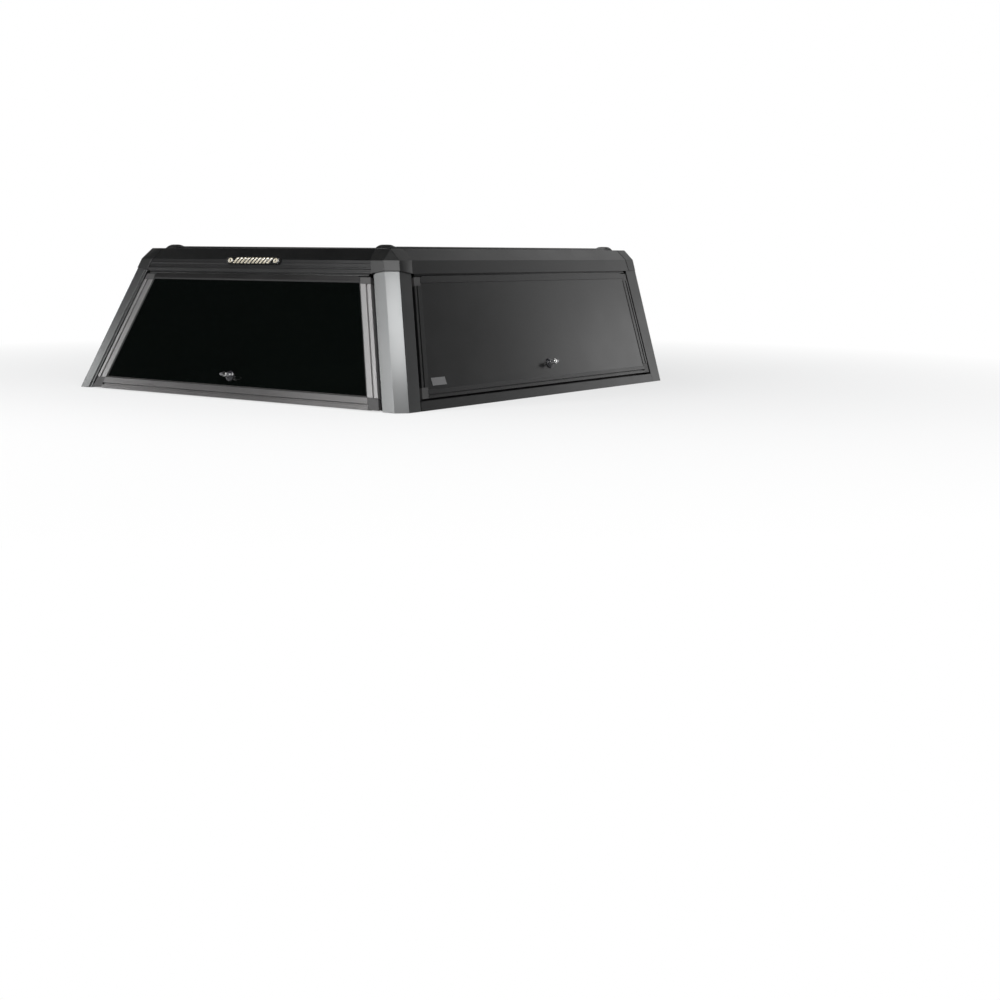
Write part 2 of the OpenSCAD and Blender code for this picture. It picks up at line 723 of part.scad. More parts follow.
// The pane's back lies higher than its face by the same height, so its edges draw in by that much.
module front_window() {
    k = side_k * cos(front_lean);
    rise = (glass_set + glass_t) * sin(front_lean);
    x = half_w - front_facet - side_k * rise;
    low = (sill_h - glass_set * sin(front_lean)) / cos(front_lean);
    high = (band_low - rise) / cos(front_lean);
    pane = [low, high, -x, k, x, -k];
    on_front() translate([0, 0, -glass_set - glass_t]) linear_extrude(glass_t)
        polygon(outline(pane, 0, low, high));
}

// Rubber seal on the landing, clear of the leaf.
seal_t = landing_d - leaf_t - seal_gap;
module seal_ring(leaf) {
    a = seal_edge;
    b = seal_edge + seal_w;
    translate([0, 0, -landing_d]) linear_extrude(seal_t) difference() {
        polygon(outline(leaf, a, leaf[0] + a, leaf[1] - a));
        polygon(outline(leaf, b, leaf[0] + b, leaf[1] - b));
    }
}
module hatch_seal() {
    difference() {
        on_rear() seal_ring(hatch_outline);
        below(hatch_lift + hatch_rail);
    }
}
module door_seal() {
    on_side() seal_ring(door_outline);
}

// The two upright bars of a leaf, each with its ridges and groove. Shares run from the outer edge inwards.
module stiles(leaf, width, low, high) {
    for (side = [-1, 1])
        for (layer = bar_layers)
            translate([0, 0, -leaf_t]) linear_extrude(leaf_t - layer[2])
                polygon(border(leaf, side, layer[0] * width, layer[1] * width, low, high));
}
// A level bar between the stiles. Its outer edge is at height edge and it grows by width.
module bar_rail(leaf, inset, edge, width) {
    for (layer = bar_layers) {
        a = edge + layer[0] * width;
        b = edge + layer[1] * width;
        translate([0, 0, -leaf_t]) linear_extrude(leaf_t - layer[2]) polygon(outline(leaf, inset, a, b));
    }
}

// The two corner connectors of a leaf at one height.
module corner_blocks(leaf, width, low, high) {
    for (side = [-1, 1])
        translate([0, 0, -leaf_t]) linear_extrude(leaf_t - corner_in)
            polygon(border(leaf, side, 0, width, low, high));
}

hatch_bottom_u = hatch_low + hatch_rail;
hatch_top_u = hatch_high - hatch_top;
module hatch_bottom_rail() {
    difference() {
        on_rear() bar_rail(hatch_outline, stile_w, hatch_low, hatch_rail);
        below(hatch_lift);
    }
}
module hatch_top_rail() {
    on_rear() translate([0, 0, -leaf_t])
        linear_extrude(leaf_t) polygon(outline(hatch_outline, stile_w, hatch_top_u, hatch_high));
    along_hatch_hinge(hatch_hinge_half - stile_w) socket_profile();
}
module hatch_stiles() {
    low = hatch_bottom_u;
    high = hatch_top_u - corner_drop;
    on_rear() stiles(hatch_outline, stile_w, low, high);
}
module hatch_corners() {
    difference() {
        on_rear() {
            corner_blocks(hatch_outline, stile_w, hatch_low, hatch_bottom_u);
            corner_blocks(hatch_outline, stile_w, hatch_top_u - corner_drop, hatch_high);
        }
        below(hatch_lift);
    }
}
module hatch_glass() {
    on_rear() translate([0, 0, -glass_set - glass_t]) linear_extrude(glass_t)
        polygon(outline(hatch_outline, stile_w, hatch_bottom_u, hatch_top_u));
}
module hatch_lip_seal() {
    y = rear_plane(hatch_lift) + leaf_t / 2;
    x = hatch_edge_x - stile_w;
    translate([-x, y, hatch_lift - lip_seal_h]) cube([2 * x, lip_seal_w, lip_seal_h]);
}

door_bottom_u = door_low + door_bottom;
door_top_u = door_high - door_top;
module door_frame() {
    high = door_top_u - corner_drop;
    low = door_bottom_u + corner_drop;
    on_side() {
        stiles(door_outline, door_bar, low, high);
        bar_rail(door_outline, door_bar, door_low, door_bottom);
        translate([0, 0, -leaf_t]) linear_extrude(leaf_t)
            polygon(outline(door_outline, door_bar, door_top_u, door_high));
    }
    along_door_hinge(door_hinge_from + door_bar, door_hinge_to - door_bar) socket_profile();
}
module door_corners() {
    on_side() {
        corner_blocks(door_outline, door_bar, door_low, door_bottom_u + corner_drop);
        corner_blocks(door_outline, door_bar, door_top_u - corner_drop, door_high);
    }
}
module door_panel() {
    on_side() translate([0, 0, -skin_set - skin_t]) linear_extrude(skin_t)
        polygon(outline(door_outline, door_bar, door_bottom_u, door_top_u));
}

// Lock: a round base on the face, a stem that turns in it, the T-handle and the key cylinder.
module lock_base() {
    difference() {
        cylinder(r = lock_r, h = lock_t);
        translate([0, 0, lock_t - stem_sink]) cylinder(r = stem_r + bead_play, h = lock_t);
    }
}
module handle() {
    difference() {
        union() {
            translate([0, 0, lock_t - stem_sink + seal_gap]) cylinder(r = stem_r, h = stem_sink + stem_l);
            translate([0, 0, lock_t + stem_l]) linear_extrude(grip_t) stadium(grip_l, grip_w);
        }
        translate([0, 0, lock_t + stem_l]) cylinder(r = key_r + bead_play, h = grip_t + cut_over);
    }
}
module key() {
    translate([0, 0, lock_t + stem_l]) cylinder(r = key_r, h = grip_t + key_out);
}

hatch_lock_u = hatch_lock_z / cos(rear_lean);
door_lock_u = door_lock_z / cos(side_lean);
door_mid_y = (left_at(door_outline, 0, door_lock_u) + right_at(door_outline, 0, door_lock_u)) / 2;
door_lock_y = door_mid_y + door_lock_fore;
module at_hatch_lock() {
    on_rear() translate([0, hatch_lock_u, -glass_set]) children();
}
module at_door_lock() {
    on_side() translate([door_lock_y, door_lock_u, -skin_set]) children();
}

module door_plate() {
    u = door_bottom_u + plate_up;
    y = left_at(door_outline, door_bar, u) + plate_in;
    on_side() translate([y, u, -skin_set]) cube([plate_l, plate_h, plate_t]);
}

color(satin_black) mirrored() base_rail();  // base_rail_left
color(satin_black) base_rail();  // base_rail_right
color(satin_black) base_rail_front();
color(pillar_grey) mirrored() rear_pillar();  // rear_pillar_left
color(pillar_grey) rear_pillar();  // rear_pillar_right
color(pillar_grey) mirrored() front_pillar();  // front_pillar_left
color(pillar_grey) front_pillar();  // front_pillar_right
color(satin_black) mirrored() side_header();  // side_header_left
color(satin_black) side_header();  // side_header_right
color(satin_black) rear_header();
color(satin_black) front_header();
color(satin_black) roof_sheet(0);  // roof_panel
color(satin_black) mirrored() roof_track();  // roof_track_left
color(satin_black) roof_track();  // roof_track_right
color(cast_black) roof_track_ends();
color(cast_black) mirrored() rear_cap();  // rear_cap_left
color(cast_black) rear_cap();  // rear_cap_right
color(cast_black) pair() front_cap();  // front_caps
color(cast_black) brake_light_housing();
color(steel) brake_light_lens();
color(glass_black) front_window();
color(rubber_black) hatch_seal();
color(rubber_black) pair() door_seal();  // door_seals
color(pillar_grey) hatch_top_rail();
color(pillar_grey) hatch_bottom_rail();
color(pillar_grey) hatch_stiles();
color(cast_black) hatch_corners();
color(glass_black) hatch_glass();
color(rubber_black) hatch_lip_seal();
color(cast_black) at_hatch_lock() lock_base();  // hatch_lock
color(satin_black) mirrored() door_frame();  // door_frame_left
color(satin_black) door_frame();  // door_frame_right
color(cast_black) mirrored() door_corners();  // door_corners_left
color(cast_black) door_corners();  // door_corners_right
color(satin_black) mirrored() door_panel();  // door_panel_left
color(satin_black) door_panel();  // door_panel_right
color(cast_black) mirrored() at_door_lock() lock_base();  // door_lock_left
color(cast_black) at_door_lock() lock_base();  // door_lock_right
color(steel) mirrored() door_plate();  // door_plate_left
color(steel) door_plate();  // door_plate_right
color(cast_black) at_hatch_lock() handle();  // hatch_handle
color(cast_black) mirrored() at_door_lock() handle();  // door_handle_left
color(cast_black) at_door_lock() handle();  // door_handle_right
color(steel) at_hatch_lock() key();  // hatch_key
color(steel) mirrored() at_door_lock() key();  // door_key_left
color(steel) at_door_lock() key();  // door_key_right
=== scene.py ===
"""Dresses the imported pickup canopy: coats, ribs, gaskets, lamp optics, lock handles and a stage."""

import math

import bpy
import numpy as np
from bpy.props import FloatProperty, FloatVectorProperty, IntProperty, PointerProperty
from mathutils import Matrix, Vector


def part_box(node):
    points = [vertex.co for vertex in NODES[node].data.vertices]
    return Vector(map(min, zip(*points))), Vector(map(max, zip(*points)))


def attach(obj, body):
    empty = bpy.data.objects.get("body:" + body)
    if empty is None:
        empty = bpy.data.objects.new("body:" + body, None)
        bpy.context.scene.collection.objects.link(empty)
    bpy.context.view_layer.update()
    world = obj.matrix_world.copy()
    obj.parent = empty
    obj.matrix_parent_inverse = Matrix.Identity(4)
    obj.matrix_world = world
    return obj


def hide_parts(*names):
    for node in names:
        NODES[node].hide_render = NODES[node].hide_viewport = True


bl_info = {
    "name": "Pickup canopy dressing",
    "version": (1, 0, 0),
    "blender": (4, 5, 0),
    "location": "View3D > Sidebar > Canopy",
    "description": "Coats the canopy and adds its ribs, gaskets, lamp, handles and stage",
    "category": "Object",
}

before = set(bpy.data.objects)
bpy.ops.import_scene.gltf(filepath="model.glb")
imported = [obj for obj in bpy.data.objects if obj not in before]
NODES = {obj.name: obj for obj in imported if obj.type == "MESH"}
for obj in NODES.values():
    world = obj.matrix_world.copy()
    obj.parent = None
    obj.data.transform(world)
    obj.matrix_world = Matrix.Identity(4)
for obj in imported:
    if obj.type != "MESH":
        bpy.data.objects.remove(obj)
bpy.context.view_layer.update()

# The canopy's leaning faces, in metres and radians.
HALF_W = 0.864
REAR_Y = -0.913
FRONT_Y = 0.84657
SIDE_LEAN = math.radians(20.48)
REAR_LEAN = math.radians(19.14)
FRONT_LEAN = math.radians(7.35)
DOOR_FRONT_LEAN = math.radians(5.9)
SIDE_K = math.tan(SIDE_LEAN)
REAR_K = math.tan(REAR_LEAN)

# Heights shared by the rails and the leaves.
BAND_LOW = 0.468
BAND_TOP = 0.515
ROOF_Z = 0.556
SILL_H = 0.033
HINGE_Z = 0.462
HINGE_ROOM = 0.006
GLASS_SET = 0.004
SKIN_SET = 0.002
GLASS_BACK = 0.009
STILE = 0.046
CAP_END_X = 0.766
WINDOW_HALF = 0.79
HATCH_HALF = 0.758
HATCH_FOOT = 0.004
DOOR_FOOT = 0.041
DOOR_REAR_FOOT = -0.798
DOOR_FRONT_SET = 0.087
DOOR_LOCK_SHIFT = 0.036

# A leaf is [low, high, left foot, left slope, right foot, right slope] in its own plane.
HATCH = (
    HATCH_FOOT / math.cos(REAR_LEAN),
    HINGE_Z / math.cos(REAR_LEAN) - HINGE_ROOM,
    -HATCH_HALF,
    SIDE_K * math.cos(REAR_LEAN),
    HATCH_HALF,
    -SIDE_K * math.cos(REAR_LEAN),
)
DOOR = (
    DOOR_FOOT / math.cos(SIDE_LEAN),
    HINGE_Z / math.cos(SIDE_LEAN) - HINGE_ROOM,
    DOOR_REAR_FOOT,
    REAR_K * math.cos(SIDE_LEAN),
    FRONT_Y - DOOR_FRONT_SET,
    math.tan(DOOR_FRONT_LEAN) * math.cos(SIDE_LEAN),
)
WINDOW_RISE = GLASS_BACK * math.sin(FRONT_LEAN)
WINDOW = (
    (SILL_H - GLASS_SET * math.sin(FRONT_LEAN)) / math.cos(FRONT_LEAN),
    (BAND_LOW - WINDOW_RISE) / math.cos(FRONT_LEAN),
    SIDE_K * WINDOW_RISE - WINDOW_HALF,
    SIDE_K * math.cos(FRONT_LEAN),
    WINDOW_HALF - SIDE_K * WINDOW_RISE,
    -SIDE_K * math.cos(FRONT_LEAN),
)
HATCH_GLASS_LOW = HATCH[0] + 0.044
HATCH_GLASS_HIGH = HATCH[1] - 0.015
LAMP_U = 0.507 / math.cos(REAR_LEAN)
HATCH_LOCK_U = 0.085 / math.cos(REAR_LEAN)
DOOR_LOCK_U = 0.118 / math.cos(SIDE_LEAN)

# Small measures of the added pieces: seats, edges, and turned profiles as (radius, height) pairs.
SEAT = 0.0002
TRACK_EDGE = 0.0005
PLATE_EDGE = 0.0003
LAMP_EDGE = 0.0012
KEY_EDGE = 0.0004
BEVEL_SEGMENTS = 2
BEVEL_ANGLE = math.radians(25.0)
LATHE_SIDES = 40
GRIP_RISE = 0.0245
GRIP_HALF_THICK = 0.0055
ROSE_PROFILE = 0.001 * np.array(
    [(8.3, 3.2), (8.3, 8.6), (10.5, 9), (13, 8.2), (15, 5.6), (18.6, 4.4), (20, 2.8), (20, 0)]
)
STEM_PROFILE = 0.001 * np.array(
    [(6.6, 3.6), (7.9, 3.6), (7.9, 17), (8.8, 18.4), (9.6, 21), (9.6, 30.4), (8.8, 31), (6.6, 31)]
)


# Local faces: the first number runs along the face, u up the slope and n outwards.
def on_rear(x, u, n):
    """A point x across, u up the rear slope and n behind the rear face."""
    x, u, n = np.broadcast_arrays(x, u, n)
    c, s = math.cos(REAR_LEAN), math.sin(REAR_LEAN)
    return np.stack([x, REAR_Y + u * s - n * c, u * c + n * s], axis=-1)


def on_front(x, u, n):
    """A point x across, u up the front slope and n ahead of the front face."""
    x, u, n = np.broadcast_arrays(x, u, n)
    c, s = math.cos(FRONT_LEAN), math.sin(FRONT_LEAN)
    return np.stack([x, FRONT_Y + u * s + n * c, u * c - n * s], axis=-1)


def on_right(y, u, n):
    """A point y along, u up the right side's slope and n outside its face."""
    y, u, n = np.broadcast_arrays(y, u, n)
    c, s = math.cos(SIDE_LEAN), math.sin(SIDE_LEAN)
    return np.stack([HALF_W - u * s + n * c, y, u * c + n * s], axis=-1)


def on_left(y, u, n):
    """The mirror image of a point on the right side."""
    return on_right(y, u, n) * np.array([-1.0, 1.0, 1.0])


def edge_at(leaf, side, inset, u):
    """Place of a leaf's left (-1) or right (1) edge at u: foot plus slope times u, less the inset."""
    foot, slope = (leaf[2], leaf[3]) if side < 0 else (leaf[4], leaf[5])
    return foot + slope * u - side * inset * math.hypot(1.0, slope)


# Meshes from arrays.
def mesh_object(name, points, faces, smooth=False):
    """A mesh object at the origin from a point array and a list of face arrays of equal width."""
    mesh = bpy.data.meshes.new(name)
    loops = np.concatenate([f.ravel() for f in faces]).astype(np.int32)
    sizes = np.concatenate([np.full(len(f), f.shape[1]) for f in faces]).astype(np.int32)
    starts = np.concatenate([[0], np.cumsum(sizes)[:-1]]).astype(np.int32)
    mesh.vertices.add(len(points))
    mesh.vertices.foreach_set("co", np.asarray(points, dtype=np.float32).ravel())
    mesh.loops.add(len(loops))
    mesh.loops.foreach_set("vertex_index", loops)
    mesh.polygons.add(len(sizes))
    mesh.polygons.foreach_set("loop_start", starts)
    mesh.polygons.foreach_set("use_smooth", np.full(len(sizes), smooth))
    mesh.update(calc_edges=True)
    mesh.validate()
    obj = bpy.data.objects.new(name, mesh)
    bpy.context.scene.collection.objects.link(obj)
    return obj


def outward(points, faces):
    """The same faces, all turned round if the volume they close comes out negative."""
    volume = 0.0
    for f in faces:
        a, b, c = points[f[:, 0]], points[f[:, 1:-1]], points[f[:, 2:]]
        volume += np.einsum("ij,ikj->", a, np.cross(b, c))
    return faces if volume > 0 else [f[:, ::-1] for f in faces]


def ring_surface(name, rings, closed=False, smooth=False):
    """A surface through rings[i, j]: quads between neighbouring rings, each ring a closed loop.

    A closed one joins its last ring to the first, and an open one gets a flat face on each end.
    """
    rows, cols = rings.shape[:2]
    index = np.arange(rows * cols).reshape(rows, cols)
    here, there = (index, np.roll(index, -1, axis=0)) if closed else (index[:-1], index[1:])
    quads = np.stack(
        [here, np.roll(here, -1, axis=1), np.roll(there, -1, axis=1), there], axis=-1
    ).reshape(-1, 4)
    faces = [quads] if closed else [quads, index[:1, ::-1], index[-1:]]
    points = rings.reshape(-1, 3)
    return mesh_object(name, points, outward(points, faces), smooth)


def pole_surface(name, first, rings, last, smooth=True):
    """A surface through rings[i, j] whose two ends close on the single points first and last."""
    rows, cols = rings.shape[:2]
    index = np.arange(rows * cols).reshape(rows, cols)
    quads = np.stack(
        [index[:-1], np.roll(index[:-1], -1, axis=1), np.roll(index[1:], -1, axis=1), index[1:]],
        axis=-1,
    ).reshape(-1, 4)
    start, end = rows * cols, rows * cols + 1
    low = np.stack([np.full(cols, start), np.roll(index[0], -1), index[0]], axis=-1)
    high = np.stack([np.full(cols, end), index[-1], np.roll(index[-1], -1)], axis=-1)
    points = np.concatenate([rings.reshape(-1, 3), [first], [last]])
    return mesh_object(name, points, outward(points, [quads, low, high]), smooth)


def soften(obj, width):
    """Rounds a CAD node's edges: its triangles are joined, its flat faces merged, then bevelled."""
    weld = obj.modifiers.new("Join triangles", "WELD")
    weld.merge_threshold = 1e-5
    flat = obj.modifiers.new("Merge flats", "DECIMATE")
    flat.decimate_type = "DISSOLVE"
    flat.angle_limit = math.radians(0.5)
    round_off = obj.modifiers.new("Soft edges", "BEVEL")
    round_off.width = width
    round_off.segments = BEVEL_SEGMENTS
    round_off.limit_method = "ANGLE"
    round_off.angle_limit = BEVEL_ANGLE
    round_off.use_clamp_overlap = False


# Finishes.
def link(tree, a, b):
    """Joins an output socket to an input socket."""
    tree.links.new(a, b)


def node(tree, kind, **values):
    """A shader node whose properties or inputs get the given values."""
    made = tree.nodes.new("ShaderNode" + kind)
    for key, value in values.items():
        if hasattr(made, key):
            setattr(made, key, value)
        else:
            made.inputs[key.replace("_", " ")].default_value = value
    return made


def group(name, inputs, outputs):
    """An empty shader group with those sockets, and its input and output nodes."""
    tree = bpy.data.node_groups.new(name, "ShaderNodeTree")
    for label, kind, default in inputs:
        made = tree.interface.new_socket(label, in_out="INPUT", socket_type="NodeSocket" + kind)
        made.default_value = default
    for label, kind in outputs:
        tree.interface.new_socket(label, in_out="OUTPUT", socket_type="NodeSocket" + kind)
    return tree, tree.nodes.new("NodeGroupInput"), tree.nodes.new("NodeGroupOutput")


def grain_group():
    """Orange peel and fine grain of a sprayed or moulded surface, as a roughness and a normal."""
    if "Surface grain" in bpy.data.node_groups:
        return bpy.data.node_groups["Surface grain"]
    tree, given, out = group(
        "Surface grain",
        [
            ("Grain", "Float", 900.0),
            ("Peel", "Float", 120.0),
            ("Depth", "Float", 0.3),
            ("Roughness", "Float", 0.4),
            ("Spread", "Float", 0.1),
        ],
        [("Roughness", "Float"), ("Normal", "Vector")],
    )
    place = node(tree, "TexCoord")
    fine = node(tree, "TexNoise", Detail=2.0)
    peel = node(tree, "TexNoise", Detail=1.0)
    cloud = node(tree, "TexNoise", Scale=7.0, Detail=4.0)
    for made in (fine, peel, cloud):
        link(tree, place.outputs["Object"], made.inputs["Vector"])
    link(tree, given.outputs["Grain"], fine.inputs["Scale"])
    link(tree, given.outputs["Peel"], peel.inputs["Scale"])
    both = node(tree, "Math", operation="ADD")
    link(tree, fine.outputs[0], both.inputs[0])
    link(tree, peel.outputs[0], both.inputs[1])
    bump = node(tree, "Bump", Distance=0.00012)
    link(tree, given.outputs["Depth"], bump.inputs["Strength"])
    link(tree, both.outputs[0], bump.inputs["Height"])
    centre = node(tree, "Math", operation="SUBTRACT")
    centre.inputs[1].default_value = 0.5
    link(tree, cloud.outputs[0], centre.inputs[0])
    scaled = node(tree, "Math", operation="MULTIPLY")
    link(tree, centre.outputs[0], scaled.inputs[0])
    link(tree, given.outputs["Spread"], scaled.inputs[1])
    total = node(tree, "Math", operation="ADD")
    link(tree, scaled.outputs[0], total.inputs[0])
    link(tree, given.outputs["Roughness"], total.inputs[1])
    link(tree, total.outputs[0], out.inputs["Roughness"])
    link(tree, bump.outputs[0], out.inputs["Normal"])
    return tree


def tone_group():
    """Slight clouding of a colour, and dust that settles where the surface looks up."""
    if "Tone and dust" in bpy.data.node_groups:
        return bpy.data.node_groups["Tone and dust"]
    tree, given, out = group(
        "Tone and dust",
        [
            ("Colour", "Color", (0.1, 0.1, 0.1, 1)),
            ("Dust colour", "Color", (0.2, 0.19, 0.17, 1)),
            ("Clouding", "Float", 0.2),
            ("Dust", "Float", 0.1),
        ],
        [("Colour", "Color")],
    )
    place = node(tree, "TexCoord")
    cloud = node(tree, "TexNoise", Scale=3.0, Detail=6.0)
    specks = node(tree, "TexNoise", Scale=55.0, Detail=8.0)
    for made in (cloud, specks):
        link(tree, place.outputs["Object"], made.inputs["Vector"])
    shade = node(tree, "Mix", data_type="RGBA", blend_type="MULTIPLY")
    tint = node(tree, "ValToRGB")
    tint.color_ramp.elements[0].position = 0.3
    tint.color_ramp.elements[0].color = (0.55, 0.55, 0.57, 1)
    tint.color_ramp.elements[1].position = 0.7
    tint.color_ramp.elements[1].color = (1.0, 1.0, 1.0, 1)
    link(tree, cloud.outputs[0], tint.inputs[0])
    link(tree, given.outputs["Clouding"], shade.inputs[0])
    link(tree, given.outputs["Colour"], shade.inputs[6])
    link(tree, tint.outputs[0], shade.inputs[7])
    facing = node(tree, "NewGeometry")
    split = node(tree, "SeparateXYZ")
    link(tree, facing.outputs["Normal"], split.inputs[0])
    upward = node(tree, "MapRange")
    upward.inputs["From Min"].default_value = 0.2
    upward.inputs["From Max"].default_value = 1.0
    link(tree, split.outputs[2], upward.inputs["Value"])
    patch = node(tree, "MapRange")
    patch.inputs["From Min"].default_value = 0.4
    patch.inputs["From Max"].default_value = 0.7
    link(tree, specks.outputs[0], patch.inputs["Value"])
    first = node(tree, "Math", operation="MULTIPLY")
    link(tree, upward.outputs[0], first.inputs[0])
    link(tree, patch.outputs[0], first.inputs[1])
    mask = node(tree, "Math", operation="MULTIPLY")
    link(tree, first.outputs[0], mask.inputs[0])
    link(tree, given.outputs["Dust"], mask.inputs[1])
    dusted = node(tree, "Mix", data_type="RGBA")
    link(tree, mask.outputs[0], dusted.inputs[0])
    link(tree, shade.outputs[2], dusted.inputs[6])
    link(tree, given.outputs["Dust colour"], dusted.inputs[7])
    link(tree, dusted.outputs[2], out.inputs["Colour"])
    return tree


def new_material(name):
    """A new material, its tree and its Principled shader, or only the material if it is there."""
    if name in bpy.data.materials:
        return bpy.data.materials[name], None, None
    made = bpy.data.materials.new(name)
    made.use_nodes = True
    return made, made.node_tree, made.node_tree.nodes["Principled BSDF"]


def finish(
    name,
    colour,
    roughness=0.4,
    spread=0.1,
    depth=0.3,
    grain=900.0,
    peel=120.0,
    metallic=0.0,
    clouding=0.2,
    dust=0.1,
    **shader,
):
    """A material: the two groups feed a Principled shader, and the rest sits on its sockets."""
    made, tree, surface = new_material(name)
    if tree is None:
        return made
    surface.inputs["Metallic"].default_value = metallic
    for key, value in shader.items():
        surface.inputs[key.replace("_", " ")].default_value = value
    tone = tree.nodes.new("ShaderNodeGroup")
    tone.node_tree = tone_group()
    tone.inputs["Colour"].default_value = (*colour[:3], 1.0)
    tone.inputs["Clouding"].default_value = clouding
    tone.inputs["Dust"].default_value = dust
    grains = tree.nodes.new("ShaderNodeGroup")
    grains.node_tree = grain_group()
    values = {
        "Grain": grain,
        "Peel": peel,
        "Depth": depth,
        "Roughness": roughness,
        "Spread": spread,
    }
    for key, value in values.items():
        grains.inputs[key].default_value = value
    link(tree, tone.outputs["Colour"], surface.inputs["Base Color"])
    link(tree, grains.outputs["Roughness"], surface.inputs["Roughness"])
    link(tree, grains.outputs["Normal"], surface.inputs["Normal"])
    return made


def brushed(name, colour, roughness):
    """Brushed metal: noise drawn out along the plate gives fine lines in tone and height."""
    made, tree, surface = new_material(name)
    if tree is None:
        return made
    surface.inputs["Metallic"].default_value = 1.0
    surface.inputs["Roughness"].default_value = roughness
    place = node(tree, "TexCoord")
    draw = node(tree, "Mapping")
    draw.inputs["Scale"].default_value = (900.0, 12.0, 900.0)
    lines = node(tree, "TexNoise", Scale=1.0, Detail=3.0)
    link(tree, place.outputs["Object"], draw.inputs["Vector"])
    link(tree, draw.outputs[0], lines.inputs["Vector"])
    ramp = node(tree, "ValToRGB")
    ramp.color_ramp.elements[0].color = (*[c * 0.7 for c in colour[:3]], 1)
    ramp.color_ramp.elements[1].color = (*colour[:3], 1)
    link(tree, lines.outputs[0], ramp.inputs[0])
    link(tree, ramp.outputs[0], surface.inputs["Base Color"])
    bump = node(tree, "Bump", Strength=0.3, Distance=0.0001)
    link(tree, lines.outputs[0], bump.inputs["Height"])
    link(tree, bump.outputs[0], surface.inputs["Normal"])
    return made


def optics_finish(name, light, dark):
    """Lamp optics: stripes along the piece's own UV map, pale reflectors between dark gaps."""
    made, tree, surface = new_material(name)
    if tree is None:
        return made
    surface.inputs["Roughness"].default_value = 0.12
    surface.inputs["Coat Weight"].default_value = 1.0
    own = node(tree, "UVMap", uv_map="Optics")
    split = node(tree, "SeparateXYZ")
    link(tree, own.outputs[0], split.inputs[0])
    part = node(tree, "Math", operation="FRACT")
    link(tree, split.outputs[0], part.inputs[0])
    ramp = node(tree, "ValToRGB")
    stops = ramp.color_ramp.elements
    stops[0].position, stops[0].color = 0.0, (*dark[:3], 1)
    stops[1].position, stops[1].color = 1.0, (*dark[:3], 1)
    for place, colour in ((0.16, dark), (0.3, light), (0.7, light), (0.86, dark)):
        stops.new(place).color = (*colour[:3], 1)
    link(tree, part.outputs[0], ramp.inputs[0])
    link(tree, ramp.outputs[0], surface.inputs["Base Color"])
    return made


def coats():
    """All finishes of the canopy by name."""
    c = bpy.context.scene.canopy_colours
    anodised = {"roughness": 0.34, "spread": 0.14, "depth": 0.25, "metallic": 0.7}
    return {
        "coat": finish("satin_coat", c.coat, roughness=0.36, spread=0.12, depth=0.35, dust=0.02),
        "panel": finish("satin_panel", c.coat, roughness=0.3, dust=0.02, clouding=0.15),
        # Stiles, top rail and bottom rail are one anodised bar in three colours of painted light: the
        # stiles lighter as a painted highlight, the top rail near black as painted shade under the
        # header, the bottom rail in between.
        "bar": finish("satin_bar_painted_highlight", c.bar, dust=0.05, **anodised),
        "top_rail": finish("satin_top_rail_painted_shade", c.top_rail, dust=0.03, **anodised),
        "low_rail": finish("satin_low_rail_painted_light", c.low_rail, dust=0.05, **anodised),
        "band": finish(
            "satin_band", c.band, roughness=0.32, spread=0.12, depth=0.25, dust=0.04, metallic=0.5
        ),
        # The rear pillars' grey metal is far lighter than the black coat of the front pillars: a
        # painted highlight.
        "pillar": finish(
            "satin_pillar_painted_highlight", c.pillar, roughness=0.33, depth=0.25, dust=0.02, metallic=1.0
        ),
        "cap": finish(
            "moulded_cap",
            c.cap,
            roughness=0.42,
            spread=0.12,
            depth=0.6,
            grain=1400.0,
            peel=500.0,
            dust=0.04,
        ),
        "connector": finish(
            "moulded_connector", c.connector, roughness=0.5, depth=0.8, grain=1500.0, peel=600.0
        ),
        "rubber": finish(
            "seal_rubber", c.rubber, roughness=0.62, depth=0.7, grain=1300.0, peel=420.0, dust=0.2
        ),
        "glass": finish(
            "privacy_glass",
            c.glass,
            roughness=0.03,
            spread=0.03,
            depth=0.01,
            peel=6.0,
            clouding=0.1,
            dust=0.02,
            IOR=1.5,
            Transmission_Weight=0.35,
        ),
        "housing": finish("lamp_housing", c.lock, roughness=0.2, spread=0.06, depth=0.15),
        "lock": finish("lock_black", c.lock, roughness=0.22, depth=0.2, dust=0.04),
        "wing": finish("lock_wing", c.wing, roughness=0.26, depth=0.1, metallic=0.8, dust=0.03),
        "key": finish(
            "key_chrome", c.bright, roughness=0.12, depth=0.05, metallic=1.0, clouding=0.1
        ),
        "plate": brushed("plate_brushed", c.plate, 0.32),
        "optics": optics_finish("lamp_optics", c.lens, c.lock),
    }


def dress(name, finish_name, edge=None):
    """Gives a CAD node its finish and, with an edge width, softened edges."""
    obj = NODES[name]
    obj.data.materials.clear()
    obj.data.materials.append(coats()[finish_name])
    if edge:
        soften(obj, edge)


def piece(obj, finish_name, body, slot, *nodes):
    """Gives a new piece its finish and body, and hides the CAD nodes that it stands for; the slot is
    not used.
    """
    obj.data.materials.append(coats()[finish_name])
    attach(obj, body)
    if nodes:
        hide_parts(*nodes)
    return obj


# New pieces.
def rib_profile(height):
    """Cross-section of the ribbed band, as (share of its width from the top, height) pairs.

    A flat, a low rounded rib, a flat, a groove, and a broad rounded rib above the lower edge.
    """
    small = np.linspace(0.0, math.pi, 7)
    broad = np.linspace(0.0, math.pi, 9)
    share = [
        [0.0, 0.02, 0.23],
        0.315 - 0.085 * np.cos(small),
        [0.43, 0.56, 0.575, 0.66, 0.675],
        0.785 - 0.105 * np.cos(broad),
        [0.92, 0.98, 1.0, 1.0, 0.0],
    ]
    sunk = -0.3
    rise = [
        [0.0, 0.3, 0.4],
        0.45 + 0.35 * np.sin(small),
        [0.4, 0.45, 0.05, 0.05, 0.45],
        0.5 + 0.5 * np.sin(broad),
        [0.42, 0.3, 0.0, sunk, sunk],
    ]
    return np.concatenate(share), np.concatenate(rise) * height


